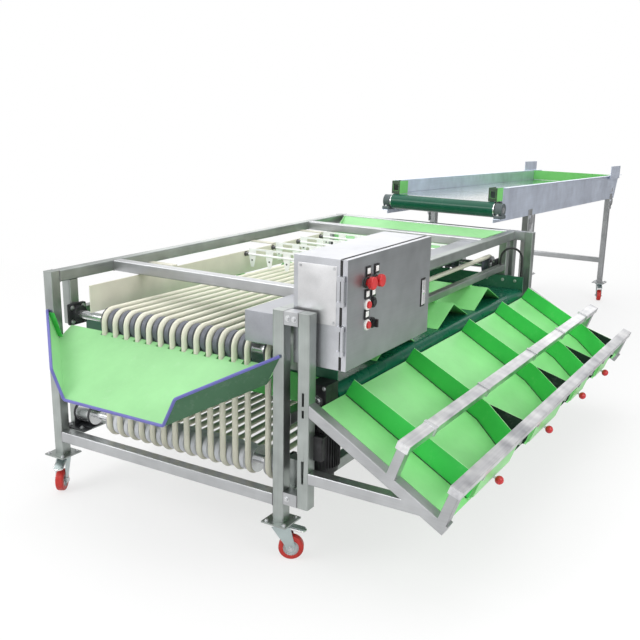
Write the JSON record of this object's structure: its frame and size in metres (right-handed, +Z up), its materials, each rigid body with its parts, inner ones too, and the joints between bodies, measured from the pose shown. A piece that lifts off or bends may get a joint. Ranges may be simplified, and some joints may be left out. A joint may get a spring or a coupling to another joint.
{
  "type": "fruit grading machine",
  "caption": "Wheeled rope-type fruit grading machine with spreading rope deck, cross belt, sloping side trays with gates, outlet chute, control cabinet and belt infeed conveyor.",
  "frame": {"origin": "middle of the bounding box, on the floor under the castor wheels", "axes": "+X across the machine towards the side trays, +Y along the machine from the outlet chute to the infeed conveyor, +Z up"},
  "size_m": [1.6116, 4.7921, 0.9972],
  "materials": {
    "stainless": "satin stainless steel",
    "bearing": "cast bearing housings",
    "board": "cream plastic board",
    "comb_white": "white plastic fingers",
    "rope": "cream polyurethane cord",
    "drum": "slate grey plastic sheaves",
    "green_pale": "light green lined sheet",
    "green_bright": "bright green coated sheet",
    "belt_green": "dark green belt",
    "infeed_belt": "pale green belt",
    "black": "black painted motor",
    "cable": "black cable jacket",
    "door_grey": "brushed stainless door",
    "red": "red plastic",
    "black_plastic": "black plastic",
    "gate": "light green gate with red ball knob",
    "wheel_red": "red polyurethane tread",
    "roller_steel": "turned steel roller"
  },
  "bodies": {
    "machine": {"frame_posts": "stainless", "side_rails": "stainless", "cross_bars": "stainless", "outriggers": "stainless", "bearing_units": "bearing", "left_board": "board", "right_guard": "stainless", "outlet_chute": "green_pale", "infeed_apron": "green_pale", "deck_ropes": "rope", "rope_returns": "rope", "rope_motor": "stainless", "cross_belt": "belt_green", "belt_frame": "green_bright", "belt_dividers": "green_pale", "belt_motor": "black", "motor_cable": "cable", "cabinet_body": "stainless", "tray_frame": "stainless", "tray_floor": "green_pale", "tray_dividers": "green_bright", "tray_bars": "stainless", "infeed_sides": "stainless", "infeed_belt": "infeed_belt", "infeed_bed": "stainless", "infeed_guards": "green_bright", "infeed_stand": "stainless"},
    "upper_outlet_roller": {"upper_outlet_roller": "drum"},
    "lower_outlet_roller": {"lower_outlet_roller": "drum"},
    "upper_infeed_roller": {"upper_infeed_roller": "drum"},
    "lower_infeed_roller": {"lower_infeed_roller": "drum"},
    "belt_drive_roller": {"belt_drive_roller": "roller_steel"},
    "belt_tail_roller": {"belt_tail_roller": "roller_steel"},
    "infeed_head_roller": {"infeed_head_roller": "roller_steel"},
    "infeed_tail_roller": {"infeed_tail_roller": "roller_steel"},
    "comb_front": {"comb_front": "comb_white"},
    "comb_rear": {"comb_rear": "comb_white"},
    "cabinet_door": {"cabinet_door": "door_grey"},
    "door_latch": {"door_latch": "stainless"},
    "stop_button_near": {"stop_button_near": "red"},
    "stop_button_far": {"stop_button_far": "red"},
    "push_button_upper": {"push_button_upper": "red"},
    "push_button_lower": {"push_button_lower": "red"},
    "selector": {"selector": "black_plastic"},
    "gate_1": {"gate_1": "gate"},
    "gate_2": {"gate_2": "gate"},
    "gate_3": {"gate_3": "gate"},
    "gate_4": {"gate_4": "gate"},
    "castor_fork_1": {"castor_fork_1": "stainless"},
    "castor_fork_2": {"castor_fork_2": "stainless"},
    "castor_fork_3": {"castor_fork_3": "stainless"},
    "castor_fork_4": {"castor_fork_4": "stainless"},
    "castor_fork_5": {"castor_fork_5": "stainless"},
    "castor_fork_6": {"castor_fork_6": "stainless"},
    "castor_wheel_1": {"castor_wheel_1": "wheel_red"},
    "castor_wheel_2": {"castor_wheel_2": "wheel_red"},
    "castor_wheel_3": {"castor_wheel_3": "wheel_red"},
    "castor_wheel_4": {"castor_wheel_4": "wheel_red"},
    "castor_wheel_5": {"castor_wheel_5": "wheel_red"},
    "castor_wheel_6": {"castor_wheel_6": "wheel_red"}
  },
  "joints": [
    {"name": "upper_outlet_roller_spin", "type": "hinge", "parent": "machine", "child": "upper_outlet_roller", "pos_m": [-0.27874, -2.095, 0.643], "axis": [1, 0, 0], "continuous": true},
    {"name": "lower_outlet_roller_spin", "type": "hinge", "parent": "machine", "child": "lower_outlet_roller", "pos_m": [-0.27874, -2.095, 0.275], "axis": [1, 0, 0], "continuous": true},
    {"name": "upper_infeed_roller_spin", "type": "hinge", "parent": "machine", "child": "upper_infeed_roller", "pos_m": [-0.27874, -0.295, 0.643], "axis": [1, 0, 0], "continuous": true},
    {"name": "lower_infeed_roller_spin", "type": "hinge", "parent": "machine", "child": "lower_infeed_roller", "pos_m": [-0.27874, -0.295, 0.275], "axis": [1, 0, 0], "continuous": true},
    {"name": "belt_drive_roller_spin", "type": "hinge", "parent": "machine", "child": "belt_drive_roller", "pos_m": [0.29626, -1.195, 0.525], "axis": [0, 1, 0], "continuous": true},
    {"name": "belt_tail_roller_spin", "type": "hinge", "parent": "machine", "child": "belt_tail_roller", "pos_m": [-0.68874, -1.195, 0.525], "axis": [0, 1, 0], "continuous": true},
    {"name": "infeed_head_roller_spin", "type": "hinge", "parent": "machine", "child": "infeed_head_roller", "pos_m": [-0.19874, -0.135, 0.891], "axis": [1, 0, 0], "continuous": true},
    {"name": "infeed_tail_roller_spin", "type": "hinge", "parent": "machine", "child": "infeed_tail_roller", "pos_m": [-0.19874, 2.24369, 0.81209], "axis": [1, 0, 0], "continuous": true},
    {"name": "comb_front_swing", "type": "hinge", "parent": "machine", "child": "comb_front", "pos_m": [-0.27874, -1.245, 0.752], "axis": [1, 0, 0], "range_deg": [-35, 35]},
    {"name": "comb_rear_swing", "type": "hinge", "parent": "machine", "child": "comb_rear", "pos_m": [-0.27874, -0.84, 0.752], "axis": [1, 0, 0], "range_deg": [-35, 35]},
    {"name": "cabinet_door_swing", "type": "hinge", "parent": "machine", "child": "cabinet_door", "pos_m": [0.39126, -2.151, 0.8], "axis": [0, 0, -1], "range_deg": [0, 110]},
    {"name": "door_latch_turn", "type": "hinge", "parent": "cabinet_door", "child": "door_latch", "pos_m": [0.40126, -1.637, 0.786], "axis": [1, 0, 0], "range_deg": [-90, 0]},
    {"name": "stop_button_near_press", "type": "slide", "parent": "cabinet_door", "child": "stop_button_near", "axis": [-1, 0, 0], "range_m": [0, 0.006], "stiffness_N_per_m": 500},
    {"name": "stop_button_far_press", "type": "slide", "parent": "cabinet_door", "child": "stop_button_far", "axis": [-1, 0, 0], "range_m": [0, 0.006], "stiffness_N_per_m": 500},
    {"name": "push_button_upper_press", "type": "slide", "parent": "cabinet_door", "child": "push_button_upper", "axis": [-1, 0, 0], "range_m": [0, 0.004], "stiffness_N_per_m": 500},
    {"name": "push_button_lower_press", "type": "slide", "parent": "cabinet_door", "child": "push_button_lower", "axis": [-1, 0, 0], "range_m": [0, 0.004], "stiffness_N_per_m": 500},
    {"name": "selector_turn", "type": "hinge", "parent": "cabinet_door", "child": "selector", "pos_m": [0.40126, -1.993, 0.757], "axis": [1, 0, 0], "range_deg": [-45, 45]},
    {"name": "gate_1_swing", "type": "hinge", "parent": "machine", "child": "gate_1", "pos_m": [0.78519, -1.195, 0.35373], "axis": [0, -1, 0], "range_deg": [0, 70]},
    {"name": "gate_2_swing", "type": "hinge", "parent": "machine", "child": "gate_2", "pos_m": [0.78519, -1.195, 0.35373], "axis": [0, -1, 0], "range_deg": [0, 70]},
    {"name": "gate_3_swing", "type": "hinge", "parent": "machine", "child": "gate_3", "pos_m": [0.78519, -1.195, 0.35373], "axis": [0, -1, 0], "range_deg": [0, 70]},
    {"name": "gate_4_swing", "type": "hinge", "parent": "machine", "child": "gate_4", "pos_m": [0.78519, -1.195, 0.35373], "axis": [0, -1, 0], "range_deg": [0, 70]},
    {"name": "castor_1_swivel", "type": "hinge", "parent": "machine", "child": "castor_fork_1", "pos_m": [-0.75874, -2.175, 0.06], "axis": [0, 0, 1], "continuous": true},
    {"name": "castor_1_roll", "type": "hinge", "parent": "castor_fork_1", "child": "castor_wheel_1", "pos_m": [-0.74274, -2.20271, 0.04], "axis": [0.866, 0.5, 0], "continuous": true},
    {"name": "castor_2_swivel", "type": "hinge", "parent": "machine", "child": "castor_fork_2", "pos_m": [0.20126, -2.175, 0.06], "axis": [0, 0, 1], "continuous": true},
    {"name": "castor_2_roll", "type": "hinge", "parent": "castor_fork_2", "child": "castor_wheel_2", "pos_m": [0.22897, -2.159, 0.04], "axis": [-0.5, 0.866, 0], "continuous": true},
    {"name": "castor_3_swivel", "type": "hinge", "parent": "machine", "child": "castor_fork_3", "pos_m": [-0.75874, -0.195, 0.06], "axis": [0, 0, 1], "continuous": true},
    {"name": "castor_3_roll", "type": "hinge", "parent": "castor_fork_3", "child": "castor_wheel_3", "pos_m": [-0.77474, -0.16729, 0.04], "axis": [-0.866, -0.5, 0], "continuous": true},
    {"name": "castor_4_swivel", "type": "hinge", "parent": "machine", "child": "castor_fork_4", "pos_m": [0.20126, -0.195, 0.06], "axis": [0, 0, 1], "continuous": true},
    {"name": "castor_4_roll", "type": "hinge", "parent": "castor_fork_4", "child": "castor_wheel_4", "pos_m": [0.21726, -0.16729, 0.04], "axis": [-0.866, 0.5, 0], "continuous": true},
    {"name": "castor_5_swivel", "type": "hinge", "parent": "machine", "child": "castor_fork_5", "pos_m": [-0.47424, 2.205, 0.06], "axis": [0, 0, 1], "continuous": true},
    {"name": "castor_5_roll", "type": "hinge", "parent": "castor_fork_5", "child": "castor_wheel_5", "pos_m": [-0.4798, 2.23651, 0.04], "axis": [-0.9848, -0.1736, 0], "continuous": true},
    {"name": "castor_6_swivel", "type": "hinge", "parent": "machine", "child": "castor_fork_6", "pos_m": [0.07676, 2.205, 0.06], "axis": [0, 0, 1], "continuous": true},
    {"name": "castor_6_roll", "type": "hinge", "parent": "castor_fork_6", "child": "castor_wheel_6", "pos_m": [0.08771, 2.17493, 0.04], "axis": [0.9397, 0.342, 0], "continuous": true}
  ],
  "couplings": [
    {"joint": "lower_outlet_roller_spin", "follows": "upper_outlet_roller_spin", "ratio": 1},
    {"joint": "upper_infeed_roller_spin", "follows": "upper_outlet_roller_spin", "ratio": 1},
    {"joint": "lower_infeed_roller_spin", "follows": "upper_outlet_roller_spin", "ratio": 1},
    {"joint": "belt_tail_roller_spin", "follows": "belt_drive_roller_spin", "ratio": 1},
    {"joint": "infeed_tail_roller_spin", "follows": "infeed_head_roller_spin", "ratio": 1}
  ]
}
